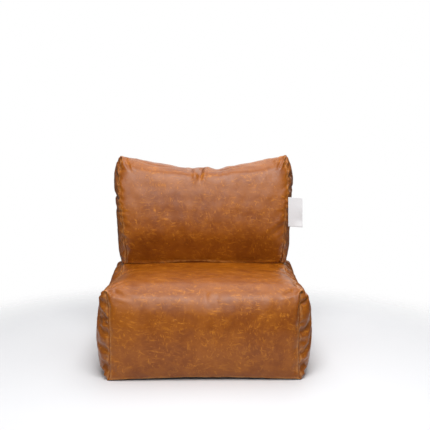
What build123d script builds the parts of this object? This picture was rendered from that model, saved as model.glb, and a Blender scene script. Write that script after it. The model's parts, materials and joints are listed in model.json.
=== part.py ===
from build123d import *
from math import cos, radians, sin, sqrt
import os

# Two-cushion bean bag chair: a seat block, and a back cushion sewn to its top along a crease.
# Millimetres. The origin is on the floor under the middle of the chair, +Z is up and the
# front faces -Y. Both covers are a long strip, rolled over the front and the top, that is
# closed by two swelling side panels, a rear panel with a zip in it, and a base.

# --- cover ---
strip_width = 650  # main strip, from side seam to side seam
leather = 1.2  # thickness of the leather-look cover
liner = 0.8  # thickness of the inner bag that holds the beads
far = 1000  # longer than anything in the chair, for cuts that run through

# --- seat cushion ---
seat_height = 322
seat_front = -350  # the front corners, at the seams
seat_front_bulge = 38  # how far the middle of the front stands past its corners
seat_rear = 372
seat_side_bulge = 75  # how far a side panel swells past its seams
seat_base_tuck = 7  # how far the side seams lean in at the floor
crest = 15  # added to a panel's bulge in one of its two views, which flattens its middle
overrun = 12  # how far the outlines run on past a corner, so that they cross there
seat_roll = 60  # radius where the strip rolls from the front over to the top

# --- back cushion ---
crease = 100  # the line along X where the two cushions are sewn together
lean = 8  # degrees that the back leans rearwards
back_front_height = 425  # along the leaning front face
back_thickness = 215
back_front_bulge = 40
back_top_crown = 12
back_side_bulge = 35
back_roll = 60

# --- hinge strip at the crease ---
flap_width = 600
flap_reach = 25  # how far each half runs back under the cushion
flap_gap = 0.4  # free space between the two halves, with the pivot in its middle

# --- zips ---
zip_length = 560
zip_end = 10  # bare tape past each end of the teeth
tape = 0.7
tape_width = 15
coil_width = 2.8
coil_height = 2.4
coil_round = 0.6
coil_slot = 1.6  # between the two rows of teeth, for the slider's web
zip_opening = 12.4  # height of the slit in the cover
zip_pocket = 3.0  # depth of the recess behind the cover
seat_zip_height = 150
back_zip_height = 90  # above the back cushion's lower edge, along its rear face
stop_length = 3.0
slider_length = 16
slider_width = 10.6
slider_round = 2.6  # its corners, seen from behind
slider_rest = 1.0  # from the closed slider to the stop beside it
plate = 1.4  # thickness of the slider's two plates
flange_share = 0.6  # of the slider's length, along its two side walls
web_length = 4  # the slider's wedge between the two rows of teeth
slide_clearance = 0.3
bridge_length = 10
bridge_width = 2.8
bridge_height = 4.2
bridge_bar = 1.1
pin_radius = 0.8
pull_length = 34
pull_width = 9
pull_round = 2.2
pull_slot_length = 6.8
pull_slot_width = 3
pull_slot_place = 0.78  # of the pull's length, from its pin to the slot at its far end
eye_clearance = 0.4  # between the bridge and the sides of the pull's eye

# --- care label and carry loop ---
label_reach = 54
label_height = 112
label_ply = 0.45
label_gap = 0.4
label_place = 0.46  # its middle, as a share of the front face's height
label_clearance = 0.5  # between the cover and the label's root
loop_width = 38
loop_drop = 110
loop_depth = 15
loop_round = 7.4  # where the webbing turns, at the loop's top and bottom
loop_height = 320  # its seam, above the back's lower rear edge, along its rear face
loop_clearance = 0.8  # between the rear face and the loop
webbing = 2.0

seat_side = strip_width / 2 + seat_side_bulge
back_bottom = seat_height + 2 * leather + flap_gap
up = Vector(0, sin(radians(lean)), cos(radians(lean)))
through = Vector(0, cos(radians(lean)), -sin(radians(lean)))
front_low = Vector(0, crease, back_bottom)
front_high = front_low + up * back_front_height
rear_high = front_high + through * back_thickness
rear_low = rear_high - up * ((rear_high.Z - back_bottom) / up.Z)


def save(piece, name):
    """Label one finished sub-part and write it."""
    piece.part.label = name
    export_step(piece.part, f"parts/{name}.step")


def barrel(plane, half_low, half_mid, half_high, low, high):
    """An outline with two swelling sides and open ends, along the plane's y."""
    middle = (low + high) / 2
    with BuildSketch(plane) as outline:
        with BuildLine():
            for side in (1, -1):
                Line((side * half_low, low - far), (side * half_low, low))
                ThreePointArc(
                    (side * half_low, low), (side * half_mid, middle), (side * half_high, high)
                )
                Line((side * half_high, high), (side * half_high, high + far))
            Line((-half_low, low - far), (half_low, low - far))
            Line((-half_high, high + far), (half_high, high + far))
        make_face()
    return outline.sketch


def seat_block(side_inset, strip_inset):
    """The filled seat, with its side panels and its strip moved inwards by the two insets."""
    half = strip_width / 2 - side_inset
    with BuildPart() as block:
        with BuildSketch(Plane.YZ):
            with BuildLine():
                Line((seat_front, 0), (seat_rear, 0))
                Line((seat_rear, 0), (seat_rear, seat_height))
                Line((seat_rear, seat_height), (seat_front, seat_height))
                SagittaArc((seat_front, seat_height), (seat_front, 0), -seat_front_bulge)
            face = make_face()
            fillet(face.vertices().group_by(Axis.Y)[-1].sort_by(Axis.X)[:1], seat_roll)
            if strip_inset:
                offset(amount=-strip_inset, mode=Mode.REPLACE)
        extrude(amount=far, both=True)
        plan_bulge = seat_front_bulge + crest
        front_radius = (strip_width**2 / 4 + plan_bulge**2) / (2 * plan_bulge) - strip_inset
        with BuildSketch(Plane.XY):
            with Locations((0, seat_front - plan_bulge + strip_inset + front_radius)):
                Circle(front_radius)
        extrude(amount=far, both=True, mode=Mode.INTERSECT)
        half_mid = seat_side - side_inset
        plan = barrel(
            Plane.XY, half - overrun, half_mid, half, seat_front - overrun, seat_rear + overrun
        )
        extrude(plan, amount=far, both=True, mode=Mode.INTERSECT)
        low, high = -overrun, seat_height + overrun
        front_view = barrel(
            Plane.XZ, half - seat_base_tuck, half_mid + crest, half, low, high
        )
        extrude(front_view, amount=far, both=True, mode=Mode.INTERSECT)
    return block.part


def back_block(side_inset, strip_inset):
    """The filled back cushion, inset in the same way. Its rear face is flat and leans."""
    half = strip_width / 2 - side_inset
    half_mid = half + back_side_bulge
    low, front, top, rear = [
        (point.Y, point.Z) for point in (front_low, front_high, rear_high, rear_low)
    ]
    with BuildPart() as block:
        with BuildSketch(Plane.YZ):
            with BuildLine():
                Line(rear, low)
                SagittaArc(low, front, back_front_bulge)
                SagittaArc(front, top, back_top_crown)
                Line(top, rear)
            face = make_face()
            fillet(face.vertices().sort_by(Axis.Y)[-1:], back_roll)
            if strip_inset:
                offset(amount=-strip_inset, mode=Mode.REPLACE)
        extrude(amount=far, both=True)
        plan = barrel(Plane.XY, half, half_mid, half, crease, rear_high.Y)
        extrude(plan, amount=far, both=True, mode=Mode.INTERSECT)
        front_view = barrel(Plane.XZ, half, half_mid + crest, half, back_bottom, front_high.Z)
        extrude(front_view, amount=far, both=True, mode=Mode.INTERSECT)
    return block.part


def zip_recess(face, wall):
    """The pocket behind the cover that the tapes and the slider's lower plate need."""
    depth = zip_pocket + wall
    with BuildPart(face) as recess:
        with Locations((0, 0, far / 2 - leather - depth)):
            Box(
                zip_length + 2 * zip_end + 2 * wall,
                2 * tape_width + coil_slot + 2 * wall,
                far,
            )
    return recess.part


def make_cover(name, block, floor, rear):
    """The cover's panels, the inner bag and its bead filling, for the cushion that block makes."""
    outside = block(0, 0)
    between_sides = block(leather, 0)
    inside = block(leather, leather)
    beads = block(leather + liner, leather + liner)

    with BuildPart() as sides:
        add(outside)
        add(between_sides, mode=Mode.SUBTRACT)
    for word, place in (("left", 0), ("right", -1)):
        with BuildPart() as side_panel:
            add(sides.solids().sort_by(Axis.X)[place])
        save(side_panel, f"{name}_{word}_panel")

    with BuildPart() as strip:
        add(between_sides)
        add(inside, mode=Mode.SUBTRACT)
    with BuildPart() as base_panel:
        add(strip.part)
        split(bisect_by=floor.offset(leather), keep=Keep.BOTTOM)
    save(base_panel, f"{name}_base_panel")
    with BuildPart() as top_front_panel:
        add(strip.part)
        split(bisect_by=floor.offset(leather), keep=Keep.TOP)
        split(bisect_by=rear.offset(-leather), keep=Keep.BOTTOM)
    save(top_front_panel, f"{name}_top_front_panel")
    with BuildPart() as rear_panel:
        add(strip.part)
        split(bisect_by=floor.offset(leather), keep=Keep.TOP)
        split(bisect_by=rear.offset(-leather), keep=Keep.TOP)
        with BuildSketch(rear):
            Rectangle(zip_length + 2 * zip_end, zip_opening)
        extrude(amount=far, both=True, mode=Mode.SUBTRACT)
    zip_line = Plane(rear.origin, x_dir=rear.x_dir, z_dir=rear.y_dir)
    for word, keep in (("upper", Keep.TOP), ("lower", Keep.BOTTOM)):
        with BuildPart() as half_panel:
            add(rear_panel.part)
            split(bisect_by=zip_line, keep=keep)
        save(half_panel, f"{name}_rear_{word}_panel")

    with BuildPart() as bead_fill:
        add(beads)
        add(zip_recess(rear, liner), mode=Mode.SUBTRACT)
    save(bead_fill, f"{name}_bead_fill")
    with BuildPart() as inner_bag:
        add(inside)
        add(zip_recess(rear, 0), mode=Mode.SUBTRACT)
        add(bead_fill.part, mode=Mode.SUBTRACT)
    save(inner_bag, f"{name}_liner")


def make_zip(name, face):
    """A coil zip: x along the teeth, y across them, z out of the cushion from the cover's surface."""
    tape_top = -leather
    tape_back = tape_top - tape
    coil_top = tape_top + coil_height
    coil_edge = coil_slot / 2 + coil_width
    for side, word in ((1, "upper"), (-1, "lower")):
        with BuildPart(face) as tape_strip:
            with Locations((0, side * (coil_slot + tape_width) / 2, (tape_top + tape_back) / 2)):
                Box(zip_length + 2 * zip_end, tape_width, tape)
        save(tape_strip, f"{name}_zip_{word}_tape")
        with BuildPart(face) as coil:
            with Locations((0, side * (coil_slot + coil_width) / 2, (tape_top + coil_top) / 2)):
                Box(zip_length, coil_width, coil_height)
            outwards = Axis(face.origin, face.z_dir)
            fillet(coil.edges().filter_by(Axis.X).sort_by(outwards)[-2:], coil_round)
        save(coil, f"{name}_zip_{word}_coil")

    with BuildPart(face) as end_stops:
        with GridLocations(zip_length + stop_length, 1, 2, 1):
            with Locations((0, 0, (tape_top + coil_top) / 2)):
                Box(stop_length, 2 * coil_edge, coil_height)
    save(end_stops, f"{name}_zip_end_stops")

    make_slider(name, face, tape_back - slide_clearance, coil_top + slide_clearance)


def make_slider(name, face, plate_low, plate_high):
    """The slider, which rides on the teeth, and its pull, which turns on a bridge."""
    station = (zip_length - slider_length) / 2 - slider_rest
    flange_low = -leather + slide_clearance
    flange_in = coil_slot / 2 + coil_width + slide_clearance
    bridge_low = plate_high + plate
    pin_height = bridge_low + (bridge_height - bridge_bar) / 2
    with BuildPart(face) as slider:
        with Locations((station, 0, 0)):
            with Locations((0, 0, plate_high + plate / 2), (0, 0, plate_low - plate / 2)):
                Box(slider_length, slider_width, plate)
            outwards = Axis(face.origin, face.z_dir)
            fillet(slider.edges().filter_by(outwards), slider_round)
            with Locations((0, 0, (plate_low + plate_high) / 2)):
                Box(web_length, coil_slot - 2 * slide_clearance, plate_high - plate_low)
            flange = slider_width / 2 - flange_in
            for side in (1, -1):
                with Locations((0, side * (flange_in + flange / 2), (flange_low + plate_high) / 2)):
                    Box(slider_length * flange_share, flange, plate_high - flange_low)
            with Locations((0, 0, bridge_low + bridge_height / 2)):
                Box(bridge_length, bridge_width, bridge_height)
            with Locations((0, 0, pin_height)):
                Box(
                    bridge_length - 2 * bridge_bar,
                    bridge_width,
                    bridge_height - bridge_bar,
                    mode=Mode.SUBTRACT,
                )
    save(slider, f"{name}_zip_slider")

    eye_in = bridge_width / 2 + eye_clearance
    bridge_corner = sqrt((bridge_length / 2) ** 2 + (bridge_height / 2 + bridge_bar) ** 2)
    eye_reach = bridge_corner + 2 * slide_clearance
    with BuildPart(face) as pull:
        with BuildSketch(face.offset(pin_height - pin_radius)):
            with Locations((station + pull_length / 2 - pin_radius, 0)):
                RectangleRounded(pull_length, pull_width, pull_round)
            with Locations((station + eye_reach / 2 - pull_length / 2, 0)):
                Rectangle(eye_reach + pull_length, 2 * eye_in, mode=Mode.SUBTRACT)
            with Locations((station + pull_length * pull_slot_place, 0)):
                SlotOverall(pull_slot_length, pull_slot_width, mode=Mode.SUBTRACT)
        extrude(amount=2 * pin_radius)
        with Locations(Location((station, 0, pin_height), (90, 0, 0))):
            Cylinder(pin_radius, 2 * eye_in + 2 * pin_radius)
    save(pull, f"{name}_zip_pull")
    pin = face.from_local_coords(Vector(station, 0, pin_height))
    print(name, "pull pin", tuple(round(value, 3) for value in pin))


def make_hinge_strip():
    """The sewn strip at the crease, as one half on each cushion with the fold between them."""
    for name, low in (("seat_hinge_flap", seat_height), ("back_hinge_flap", back_bottom - leather)):
        with BuildPart(Plane.XY.offset(low)) as flap:
            with Locations((0, crease + flap_reach / 2, leather / 2)):
                Box(flap_width, flap_reach, leather)
        save(flap, name)


def make_care_label():
    """A folded fabric label, caught in the back's right front seam. Two plies, one fold."""
    radius = (back_front_height**2 / 4 + back_front_bulge**2) / (2 * back_front_bulge)
    along = back_front_height * label_place
    slope = (along - back_front_height / 2) / radius
    depth = sqrt(radius**2 - (along - back_front_height / 2) ** 2) - (radius - back_front_bulge)
    seam = front_low + up * along - through * (depth + label_clearance)
    rise = up * cos(slope) + through * sin(slope)
    forward = Vector(1, 0, 0).cross(rise)
    start = Vector(strip_width / 2 + label_clearance, seam.Y, seam.Z)
    thickness = 2 * label_ply + label_gap
    place = Plane(start + forward * (thickness / 2), x_dir=Vector(1, 0, 0), z_dir=rise)
    with BuildPart(place) as care_label:
        with Locations((label_reach / 2, 0, 0)):
            Box(label_reach, thickness, label_height)
        with Locations((label_reach / 2 - label_ply, 0, 0)):
            Box(label_reach, label_gap, label_height, mode=Mode.SUBTRACT)
    save(care_label, "care_label")
    print("label seam", tuple(round(value, 3) for value in place.origin), "along", tuple(rise))


def make_carry_loop():
    """A webbing loop that hangs from a seam high on the middle of the back's rear face."""
    seam = rear_low + up * loop_height
    near = seam.Y + loop_clearance
    with BuildPart() as carry_loop:
        with BuildSketch(Plane.YZ):
            with Locations((near + loop_depth / 2, seam.Z - loop_drop / 2)):
                RectangleRounded(loop_depth, loop_drop, loop_round)
                offset(amount=-webbing, mode=Mode.SUBTRACT)
        extrude(amount=loop_width / 2, both=True)
    save(carry_loop, "carry_loop")
    print("loop hinge", near, seam.Z)


os.makedirs("parts", exist_ok=True)

seat_rear_face = Plane((0, seat_rear, seat_zip_height), x_dir=(-1, 0, 0), z_dir=(0, 1, 0))
back_zip_centre = rear_low + up * back_zip_height
back_rear_face = Plane(back_zip_centre, x_dir=(-1, 0, 0), z_dir=through)

make_cover("seat", seat_block, Plane.XY, seat_rear_face)
make_cover("back", back_block, Plane.XY.offset(back_bottom), back_rear_face)
make_zip("seat", seat_rear_face)
make_zip("back", back_rear_face)
make_hinge_strip()
make_care_label()
make_carry_loop()
print("crease pivot", crease, back_bottom - leather - flap_gap / 2)
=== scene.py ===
import json
import math
from collections import namedtuple
import bpy
import numpy as np
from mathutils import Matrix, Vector


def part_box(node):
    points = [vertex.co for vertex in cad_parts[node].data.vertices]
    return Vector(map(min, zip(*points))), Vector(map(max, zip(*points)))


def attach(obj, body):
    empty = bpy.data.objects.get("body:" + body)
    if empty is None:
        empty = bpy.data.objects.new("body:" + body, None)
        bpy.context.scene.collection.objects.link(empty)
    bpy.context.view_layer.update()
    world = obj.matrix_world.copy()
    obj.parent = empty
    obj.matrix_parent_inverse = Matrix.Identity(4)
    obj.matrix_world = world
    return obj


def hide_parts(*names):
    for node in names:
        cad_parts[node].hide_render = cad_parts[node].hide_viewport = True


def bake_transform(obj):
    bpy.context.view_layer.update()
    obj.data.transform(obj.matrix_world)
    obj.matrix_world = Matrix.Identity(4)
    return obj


# The looks of a two-cushion bean bag chair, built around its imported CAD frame. Metres, in the row
# frame: the floor is z = 0 and the front faces -Y. Each cushion is a box of cloth, cut flat, filled
# by a pressure simulation and fitted to its CAD solid. Its panels are then sampled finely from that
# shape, so that the seams, their puckers and the zips are real geometry.

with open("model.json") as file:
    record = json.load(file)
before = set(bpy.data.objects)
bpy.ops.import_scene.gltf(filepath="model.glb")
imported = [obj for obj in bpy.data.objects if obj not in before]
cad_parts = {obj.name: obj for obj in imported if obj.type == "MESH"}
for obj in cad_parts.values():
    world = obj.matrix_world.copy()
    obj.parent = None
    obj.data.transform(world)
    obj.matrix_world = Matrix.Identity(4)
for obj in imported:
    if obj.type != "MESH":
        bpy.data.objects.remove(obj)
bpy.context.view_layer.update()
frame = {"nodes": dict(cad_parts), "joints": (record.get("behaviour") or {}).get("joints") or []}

# ---- places, from the frame
JOINTS = {joint["name"]: joint for joint in frame["joints"]}
CREASE = JOINTS["backrest_fold"]["pos_m"][1]
SEAT_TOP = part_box("seat_hinge_flap")[0].z
BACK_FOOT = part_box("back_hinge_flap")[1].z
ZIP_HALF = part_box("seat_zip_upper_coil")[1].x
BACK_UP = -np.array(JOINTS["back_zip_pull_turn"]["axis"])
BACK_THROUGH = np.array([0, BACK_UP[2], -BACK_UP[1]])
BACK_ORIGIN = np.array([0, CREASE, BACK_FOOT])


def in_back(points):
    """The places of points in the leaning back: across, through it from the front, and up it."""
    offset = np.asarray(points, float) - BACK_ORIGIN
    return np.stack([offset[..., 0], offset @ BACK_THROUGH, offset @ BACK_UP], axis=-1)


def from_back(local):
    """The row frame's places of points of the leaning back."""
    across, through, up = (local[..., n : n + 1] for n in range(3))
    return BACK_ORIGIN + across * [1, 0, 0] + through * BACK_THROUGH + up * BACK_UP


def as_it_is(points):
    """The seat's own frame is the row frame."""
    return np.asarray(points, float)


def local_box(node, local):
    """The lowest and highest corner of a CAD node, in the frame that local turns points to."""
    points = local([vertex.co for vertex in frame["nodes"][node].data.vertices])
    return points.min(axis=0), points.max(axis=0)


def zip_height(name, local):
    """The height of the line between a zip's two tapes."""
    below, above = (local_box(f"{name}_zip_{part}_tape", local) for part in ("lower", "upper"))
    return (below[1][2] + above[0][2]) / 2


SEAT_ZIP = zip_height("seat", as_it_is)
BACK_ZIP = zip_height("back", in_back)
SEAT_REAR = local_box("seat_rear_lower_panel", as_it_is)[1][1]
BACK_REAR = local_box("back_rear_lower_panel", in_back)[1][1]

# ---- what the cushions are cut and filled to
CELL = 0.020  # the first, coarse cloth grid; the second one halves it
SEAT_CUT = (0.690, 0.740, 0.345)
BACK_CUT = (0.685, 0.215, 0.465)
BACK_SEAM_DEPTH = 0.185  # from the back's front seams to its rear ones
SEAT_FILL = 5.0  # pressure
BACK_FILL = 6.0
SEAT_ROLL = 0.24  # how far the front's roll is rounded, as a share of the height
BACK_ROLL = 0.12
BELLY = 0.044  # how far the back's front swells out
BELLY_HEIGHT = 0.145  # and how high up it does so most, as its beads sink
BELLY_ABOVE = 0.275
FOLD_ROOM = 0.55  # how far forward the back may stand for its height, to fold down freely
FOLD_SMOOTH = 0.004
PRESSED_FLAT = 0.001  # the back's foot lies flat on the seat where it would be no further from it
PRESSED = 0.012  # and is drawn down to it within this height
SKIN = 0.0012  # thickness of the cover
AWAY_FROM_SEAM = 0.05  # a distance at which a seam no longer shows in the leather
GROOVE = 0.0030  # how deep a seam sinks
GROOVE_WIDTH = 0.0026
RIDGE = 0.0007  # how far the cover stands up beside a seam
RIDGE_WIDTH = 0.0032
RIDGE_PLACE = 0.0062  # from the seam
STEP = 0.005  # between the lines of a finished panel
SEAM_LINES = (0, 0.0012, 0.0024, 0.0038, 0.0056, 0.0080, 0.0115, 0.0155, 0.0200)  # finer beside a seam

Bag = namedtuple("Bag", "name cut cells index quads points normals finish place")
BODY = {"seat": "seat", "back": "backrest"}  # the CAD body that each bag rides on
BAG_SEED = {"seat": 195, "back": 178}


def ease(value, low, high):
    """0 below low, 1 above high, and smooth between."""
    t = np.clip((value - low) / (high - low), 0, 1)
    return t * t * (3 - 2 * t)


def thinned(edge, least, over):
    """The share of its thickness that a strip has at a distance from its edge: least there, 1 inside."""
    return least + (1 - least) * ease(edge, *over)


def smooth_max(first, second, width):
    """The larger of two values, with a smooth change from one to the other."""
    return (first + second + np.sqrt((first - second) ** 2 + width**2)) / 2


def level_off(value, start, limit):
    """value up to start, then ever less more, never past limit."""
    room = limit - start
    return np.where(value > start, start + room * (1 - np.exp(-(value - start) / room)), value)


def unit(vectors):
    """The vectors at length one."""
    return vectors / np.linalg.norm(vectors, axis=-1)[..., None]


def new_object(name, data):
    """An object in the scene that shows data."""
    shown = bpy.data.objects.new(name, data)
    bpy.context.scene.collection.objects.link(shown)
    return shown


# ---- filling by simulation
CLOTH = {  # how the cloth behaves while it is filled
    "quality": 6,
    "mass": 0.05,
    "tension_stiffness": 40,
    "compression_stiffness": 40,
    "shear_stiffness": 20,
    "bending_stiffness": 0.2,
    "tension_damping": 10,
    "compression_damping": 10,
    "shear_damping": 10,
    "bending_damping": 1,
    "air_damping": 4,
    "use_pressure": True,
}
FILL_ROUNDS = ((34, 0), (16, 0.06))  # the frames of each round, and how much it gathers the seams


def lattice(cells):
    """The surface of a closed box of unit squares: the index of its corners, and its quads."""
    index, quads = {}, []

    def corner(i, j, k):
        return index.setdefault((i, j, k), len(index))

    def square(*keys):
        quads.append([corner(*key) for key in keys])

    nx, ny, nz = cells
    for i in range(nx):
        for j in range(ny):
            square((i, j, 0), (i, j + 1, 0), (i + 1, j + 1, 0), (i + 1, j, 0))
            square((i, j, nz), (i + 1, j, nz), (i + 1, j + 1, nz), (i, j + 1, nz))
        for k in range(nz):
            square((i, 0, k), (i + 1, 0, k), (i + 1, 0, k + 1), (i, 0, k + 1))
            square((i, ny, k), (i, ny, k + 1), (i + 1, ny, k + 1), (i + 1, ny, k))
    for j in range(ny):
        for k in range(nz):
            square((0, j, k), (0, j, k + 1), (0, j + 1, k + 1), (0, j + 1, k))
            square((nx, j, k), (nx, j + 1, k), (nx, j + 1, k + 1), (nx, j, k + 1))
    return index, quads


def flat_box(index, cells, cut):
    """The lattice at the size the cloth was cut to, centred over the origin."""
    keys = np.array(list(index))
    return (keys - (cells[0] / 2, cells[1] / 2, 0)) * np.array(cut) / cells


def halved(index, points, cells):
    """The lattice with every cell halved, and the points carried over to it."""
    fine_cells = tuple(2 * n for n in cells)
    fine_index, fine_quads = lattice(fine_cells)
    fine = np.zeros((len(fine_index), 3))
    for key, place in fine_index.items():
        ends = [(a // 2,) if a % 2 == 0 else (a // 2, a // 2 + 1) for a in key]
        near = [index[i, j, k] for i in ends[0] for j in ends[1] for k in ends[2]]
        fine[place] = points[near].mean(axis=0)
    return fine_cells, fine_index, fine_quads, fine


def inflate(name, quads, flat, start, frames, pressure, pinned, gathered, gather):
    """Fill a closed cloth that was cut as flat and lies as start. Returns its points."""
    mesh = bpy.data.meshes.new(name)
    mesh.from_pydata(start.tolist(), [], quads)
    cloth_object = new_object(name, mesh)
    cloth_object.shape_key_add(name="start")
    cut_shape = cloth_object.shape_key_add(name="cut")
    cut_shape.data.foreach_set("co", flat.astype(np.float32).ravel())
    cloth = cloth_object.modifiers.new("cloth", "CLOTH")
    settings = cloth.settings
    settings.rest_shape_key = cut_shape
    for setting, value in CLOTH.items():
        setattr(settings, setting, value)
    settings.uniform_pressure_force = pressure
    settings.effector_weights.gravity = 0
    cloth.collision_settings.use_collision = False
    if pinned:
        cloth_object.vertex_groups.new(name="pinned").add(pinned, 1.0, "REPLACE")
        settings.vertex_group_mass = "pinned"
    if gather:
        cloth_object.vertex_groups.new(name="gathered").add(gathered, 1.0, "REPLACE")
        settings.vertex_group_shrink = "gathered"
        settings.shrink_max = gather
    cloth.point_cache.frame_start = 1
    cloth.point_cache.frame_end = frames + 1
    for step in range(1, frames + 1):
        bpy.context.scene.frame_set(step)
    filled = cloth_object.evaluated_get(bpy.context.evaluated_depsgraph_get()).to_mesh()
    points = np.zeros(len(mesh.vertices) * 3)
    filled.vertices.foreach_get("co", points)
    bpy.data.objects.remove(cloth_object)
    bpy.data.meshes.remove(mesh)
    bpy.context.scene.frame_set(1)
    return points.reshape(-1, 3)


def on_seam(key, cells):
    """Whether a lattice corner lies on a sewn edge. The front rolls over to the top without one."""
    i, j, k = key
    nx, ny, nz = cells
    around_side = i in (0, nx) and (j in (0, ny) or k in (0, nz))
    return around_side or (j == ny and k in (0, nz)) or (j == 0 and k == 0)


def fill_bag(name, cut, pressure, pinned_base=None):
    """A box cushion cut to size and filled, on a coarse grid first and then on a finer one."""
    cells = tuple(round(length / CELL) for length in cut)
    index, quads = lattice(cells)
    flat = flat_box(index, cells, cut)
    start = pinned_base(flat) if pinned_base else flat
    for frames, gather in FILL_ROUNDS:
        pinned = [place for key, place in index.items() if key[2] == 0] if pinned_base else []
        seams = [place for key, place in index.items() if on_seam(key, cells)]
        points = inflate(name, quads, flat, start, frames, pressure, pinned, seams, gather)
        if gather:
            return cells, index, quads, points
        cells, index, quads, start = halved(index, points, cells)
        flat = flat_box(index, cells, cut)


def outward(points, quads):
    """The unit normal at each point of a closed mesh."""
    corners = points[np.array(quads)]
    across = np.cross(corners[:, 2] - corners[:, 0], corners[:, 3] - corners[:, 1])
    normals = np.zeros_like(points)
    for side in range(4):
        np.add.at(normals, np.array(quads)[:, side], across)
    return unit(normals)


# ---- fitting the filled cushions to the CAD
# A pair of numbers is a window for ease: where a change begins and where it is whole. In the values
# whose names end in LEVEL it is the start and the limit for level_off.
BASE_DRAWN_IN = 0.045  # as a share of the base's size, at its corners
BASE_MIDDLE_IN = 0.035  # and so much more between them
BASE_LIFT = 0.007  # of the base's front edge
BASE_FRONT = (0.75, 1.0)
SEAT_SIDE = 0.325  # from the middle of the seat to where its sides swell out
SEAT_SWELL = 0.95  # the share of the swell that is kept
SEAT_FULLER = 0.75  # and what is added to it where it is low
SEAT_SWELL_TOP = 0.058  # from this swell on nothing is added
SEAT_WIDER = 0.004  # how much further out the sides stand at the top
SEAT_UPPER = (0.20, 0.30)
SEAT_BELLY_HEIGHT = 0.155
SEAT_BELLY_REACH = 0.165
SEAT_FRONT_BELLY = 0.020
SEAT_REAR_BELLY = 0.006
SEAT_ENDS = (0.10, 0.34)
SEAT_FRONT_LEVEL = (0.345, 0.368)
SEAT_REAR_LEVEL = (0.330, 0.366)
SEAT_CROWN_LEVEL = (0.285, 0.340)
DIP = 0.010  # a low hollow across the seat in front of the back
DIP_PLACE = -0.010
DIP_WIDTH = 0.070
DIP_UPPER = (0.25, 0.31)


def seat_base(flat):
    """The base as the filling draws it in between its corners; its front edge lifts a little."""
    half = np.array(SEAT_CUT) / 2
    out = flat.copy()
    x, y = flat[:, 0] / half[0], flat[:, 1] / half[1]
    low = np.clip(1 - flat[:, 2] / SEAT_CUT[2], 0, 1)
    out[:, 0] *= 1 - low * (BASE_DRAWN_IN + BASE_MIDDLE_IN * (1 - y * y))
    out[:, 1] *= 1 - low * (BASE_DRAWN_IN + BASE_MIDDLE_IN * (1 - x * x))
    out[:, 2] += BASE_LIFT * low * (1 - x * x) * ease(-y, *BASE_FRONT)
    return out


def fit_seat(points):
    """The filled seat, with its crown pressed down and its front, sides and rear at the CAD's size."""
    x, y, z = points.T.copy()
    swell = np.maximum(np.abs(x) - SEAT_SIDE, 0)
    fuller = swell * (SEAT_SWELL + SEAT_FULLER * np.clip(1 - swell / SEAT_SWELL_TOP, 0, 1))
    x += np.sign(x) * (fuller - swell + SEAT_WIDER * ease(z, *SEAT_UPPER))
    belly = np.clip(1 - ((z - SEAT_BELLY_HEIGHT) / SEAT_BELLY_REACH) ** 2, 0, 1)
    front = -level_off(-y, *SEAT_FRONT_LEVEL) - SEAT_FRONT_BELLY * belly * ease(-y, *SEAT_ENDS)
    rear = level_off(y, *SEAT_REAR_LEVEL) + SEAT_REAR_BELLY * belly * ease(y, *SEAT_ENDS)
    y = np.where(y < 0, front, rear)
    z = level_off(z, *SEAT_CROWN_LEVEL)
    z -= DIP * np.exp(-(((y - DIP_PLACE) / DIP_WIDTH) ** 2)) * ease(z, *DIP_UPPER)
    return np.stack([x, y, z], axis=1)


BACK_WIDER = 1.045  # the back at its widest, as a share of its filled width
FOOT_NARROWER = 0.082  # how much less at its foot
FOOT_UP = (0.02, 0.30)
TOP_NARROWER = 0.055  # and towards its top
TOP_FROM = 0.32  # how high up the back begins to narrow again
TOP_OVER = 0.11  # and over what height it does so
TOP_MOST = 1.2  # times that height, from where on it stays as narrow
FOOT_FLARE = 0.016  # how much wider it is again right at its foot
FLARE_UP = (0.0, 0.05)
BACK_SIDE = 0.320  # beyond this the sides are pressed in
SIDE_PRESSED = 0.25  # by this share
HALF_TOP = 0.33  # half the width of the top
SAG = 0.079  # how far the top sinks in its middle
SAG_LESS = 0.020  # how much less towards its corners
SAG_CORNERS = 0.037  # and how much less again at them
SAG_UP = (0.14, 0.44)
SINK = 0.038  # how far the foot sinks onto the seat
SINK_LESS = 0.014  # how much less at its sides
SINK_UP = (0.0, 0.20)
BACK_FLAT = 0.92  # the share of its cut depth beyond which the back's front and rear swell out
FRONT_SWELL = 0.012
REAR_SWELL = 0.026
REAR_BELLY = 0.031


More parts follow.
